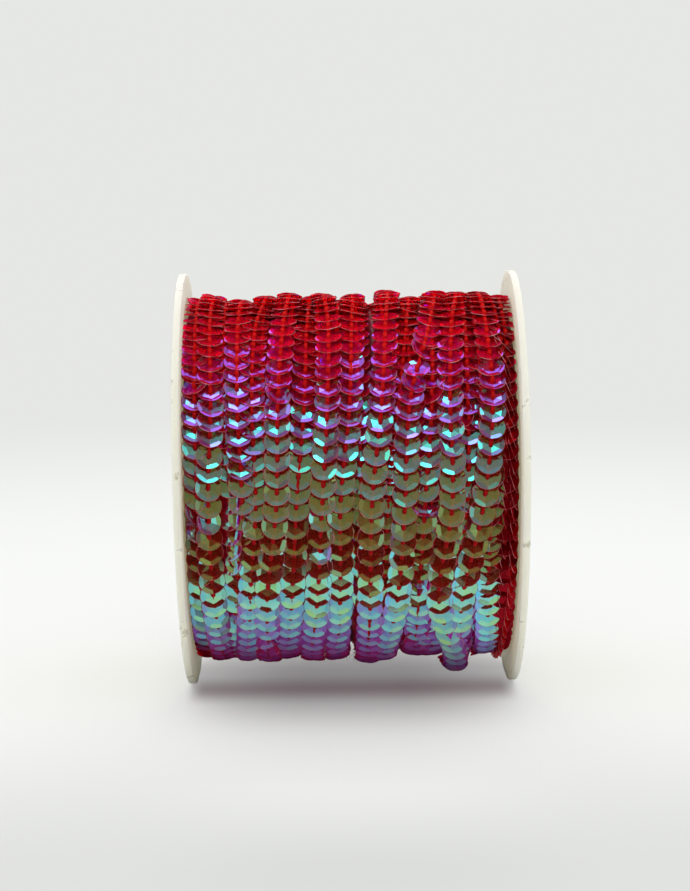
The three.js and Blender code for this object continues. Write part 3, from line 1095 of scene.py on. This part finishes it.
def seen_floor(nodes, ray, x, y, black):
    """The paper as the camera sees it: evenly lit, with a painted wide soft shadow about the roll
    and a painted narrow one right under it, which is a little red. Behind film it is painted dark."""
    ahead = product(nodes, y, -1)
    in_front, behind = product(nodes, ahead, WIDE_AHEAD), product(nodes, y, WIDE_BEHIND)
    oval = nodes.new("ShaderNodeCombineXYZ")
    join(x, oval.inputs["X"])
    join(reckoned(nodes, "MAXIMUM", in_front, behind), oval.inputs["Y"])
    aside = vector_reckoned(nodes, "LENGTH", oval.outputs["Vector"])
    lift = product(nodes, eased(nodes, ahead, *FRONT_FROM), eased(nodes, ahead, *FRONT_TO))
    least = reckoned(nodes, "MULTIPLY_ADD", lift, FRONT_FILL, SHADOW_FILL)
    nearer = eased(nodes, ahead, *NEARER)
    most = reckoned(nodes, "MULTIPLY_ADD", nearer, NEARER_FILL, OPEN_FILL)
    # Painted light and shadow: the paper glows with this fill, less in the shadow about the roll.
    fill = nodes.new("ShaderNodeEmission")
    join(ranged(nodes, aside, *WIDE_SHADOW, least, most, "SMOOTHSTEP"), fill.inputs["Strength"])
    paper = nodes.new("ShaderNodeBsdfDiffuse")
    paper.inputs["Color"].default_value = (0.43, 0.44, 0.425, 1)

    off_line = reckoned(nodes, "ABSOLUTE", reckoned(nodes, "SUBTRACT", y, NARROW_MIDDLE))
    below_roll = product(
        nodes,
        eased(nodes, off_line, *NARROW_WIDTH),
        eased(nodes, reckoned(nodes, "ABSOLUTE", x), *NARROW_LENGTH),
    )
    # Painted shadow right under the roll, tinted a little red.
    painted_red_shadow = nodes.new("ShaderNodeEmission")
    painted_red_shadow.inputs["Color"].default_value = (0.070, 0.015, 0.030, 1)
    share = product(nodes, below_roll, NARROW_SHARE)
    bare = mixed(nodes, share, added(nodes, paper, fill), painted_red_shadow)
    # Painted shade: the paper is drawn dark where the camera sees it through film.
    films = ray.outputs["Transparent Depth"]
    painted_dark_behind_film = reckoned(nodes, "MULTIPLY", films, FILM_SHARE, clamp=True)
    return mixed(nodes, painted_dark_behind_film, bare, black)


def floor_material():
    material, nodes = new_material("pale floor")
    ray = nodes.new("ShaderNodeLightPath")
    by_camera = ray.outputs["Is Camera Ray"]
    place = nodes.new("ShaderNodeTexCoord")
    split = nodes.new("ShaderNodeSeparateXYZ")
    join(place.outputs["Object"], split.inputs["Vector"])
    x, y = split.outputs["X"], split.outputs["Y"]
    black = nodes.new("ShaderNodeBsdfDiffuse")
    black.inputs["Color"].default_value = (0, 0, 0, 1)
    mirrored = mirrored_floor(nodes, ray, x, y, black)
    near = mixed(nodes, by_camera, mirrored, seen_floor(nodes, ray, x, y, black))
    far_off = nodes.new("ShaderNodeEmission")
    far_off.inputs["Color"].default_value = PALE
    distance = vector_reckoned(nodes, "LENGTH", place.outputs["Object"])
    outlying = product(nodes, eased(nodes, distance, *FAR_OFF), by_camera)
    whole = mixed(nodes, outlying, near, far_off)
    join(whole.outputs["Shader"], nodes["output"].inputs["Surface"])
    return material


floor.data.materials.append(floor_material())

# The studio: a dim room round the camera, soft panels overhead and at the sides that the
# sequins mirror, and an even light from above and a little behind for all that is matt.
ROOM = [  # place over the top, from the front horizon to the back one, and brightness
    (0.040, (0.000, 0.000, 0.000)),
    (0.070, (0.140, 0.140, 0.120)),
    (0.110, (0.200, 0.200, 0.180)),
    (0.330, (0.210, 0.210, 0.200)),
    (0.390, (0.090, 0.090, 0.090)),
    (0.560, (0.110, 0.110, 0.110)),
    (0.640, (0.250, 0.250, 0.250)),
    (0.740, (0.330, 0.330, 0.330)),
    (0.820, (0.400, 0.400, 0.400)),
    (0.880, (0.700, 0.700, 0.700)),
]
PANELS = [  # from and to, sideways and in degrees over the top, and how bright
    (-0.10, 0.28, 62, 100, 0.14),
    (-0.10, 0.20, 94, 160, 0.50),
    (-0.10, 0.16, 128, 160, 0.70),
    (-0.10, 0.14, 96, 114, 0.50),
    (-0.10, 0.075, 71, 101, 2.0),
    (0.46, 0.58, 60, 102, 1.0),
    (0.14, 0.42, 114, 172, 1.15),
    (0.36, 0.70, -5, 18, 0.4),
    (0.74, 0.97, -30, 28, 0.9),
]
PANEL_SOFT_ASIDE = 0.025
PANEL_SOFT_OVER = 4
PANEL_TINTS = [  # place over the top, as for the room, and colour
    (0.200, (1.00, 1.00, 1.00)),
    (0.320, (0.75, 1.70, 1.10)),
    (0.420, (0.75, 1.70, 1.10)),
    (0.490, (0.95, 1.20, 0.98)),
    (0.555, (1.00, 0.95, 1.00)),
    (0.620, (1.05, 0.85, 1.10)),
    (0.900, (1.00, 1.00, 1.00)),
]
LIGHT_FROM = (0, 0.45, 1)
LIGHT_SPAN = (-0.45, 1.05)  # along that, from where it is weakest to where it is strongest
LIGHT_STRENGTH = (0.30, 1.90)


def between(nodes, value, start, end, soft):
    """One where the value lies from start to end, and zero beyond, with soft limits."""
    return product(
        nodes,
        eased(nodes, value, start - soft, start + soft),
        eased(nodes, value, end + soft, end - soft),
    )


def studio():
    world = bpy.data.worlds.new("studio")
    bpy.context.scene.world = world
    world.use_nodes = True
    nodes = world.node_tree.nodes
    nodes.clear()
    towards = nodes.new("ShaderNodeTexCoord").outputs["Generated"]
    split = nodes.new("ShaderNodeSeparateXYZ")
    join(towards, split.inputs["Vector"])
    sideways = reckoned(nodes, "ABSOLUTE", split.outputs["X"])
    frontwards = product(nodes, split.outputs["Y"], -1)
    rise = reckoned(nodes, "ARCTAN2", split.outputs["Z"], frontwards)
    over = reckoned(nodes, "DEGREES", rise)
    place = ranged(nodes, over, 0, 180)
    room = nodes.new("ShaderNodeBackground")
    join(ramped(nodes, place, ROOM), room.inputs["Color"])
    brightness = 0.0
    for near, far, low, high, bright in PANELS:
        lit = product(
            nodes,
            between(nodes, sideways, near, far, PANEL_SOFT_ASIDE),
            between(nodes, over, low, high, PANEL_SOFT_OVER),
        )
        brightness = reckoned(nodes, "MULTIPLY_ADD", lit, bright, brightness)
    panels = nodes.new("ShaderNodeBackground")
    join(ramped(nodes, place, PANEL_TINTS), panels.inputs["Color"])
    join(brightness, panels.inputs["Strength"])

    height = vector_reckoned(nodes, "DOT_PRODUCT", towards, LIGHT_FROM)
    even_light = nodes.new("ShaderNodeBackground")
    strength = ranged(nodes, height, *LIGHT_SPAN, *LIGHT_STRENGTH)
    join(strength, even_light.inputs["Strength"])
    seen = nodes.new("ShaderNodeBackground")
    seen.inputs["Color"].default_value = PALE
    ray = nodes.new("ShaderNodeLightPath")
    mirrored = added(nodes, room, panels)
    lit = mixed(nodes, ray.outputs["Is Glossy Ray"], even_light, mirrored)
    whole = mixed(nodes, ray.outputs["Is Camera Ray"], lit, seen)
    output = nodes.new("ShaderNodeOutputWorld")
    join(whole.outputs["Shader"], output.inputs["Surface"])


studio()
bpy.context.scene.view_settings.view_transform = "Standard"
bpy.context.scene.cycles.transparent_max_bounces = 24  # light passes through many films
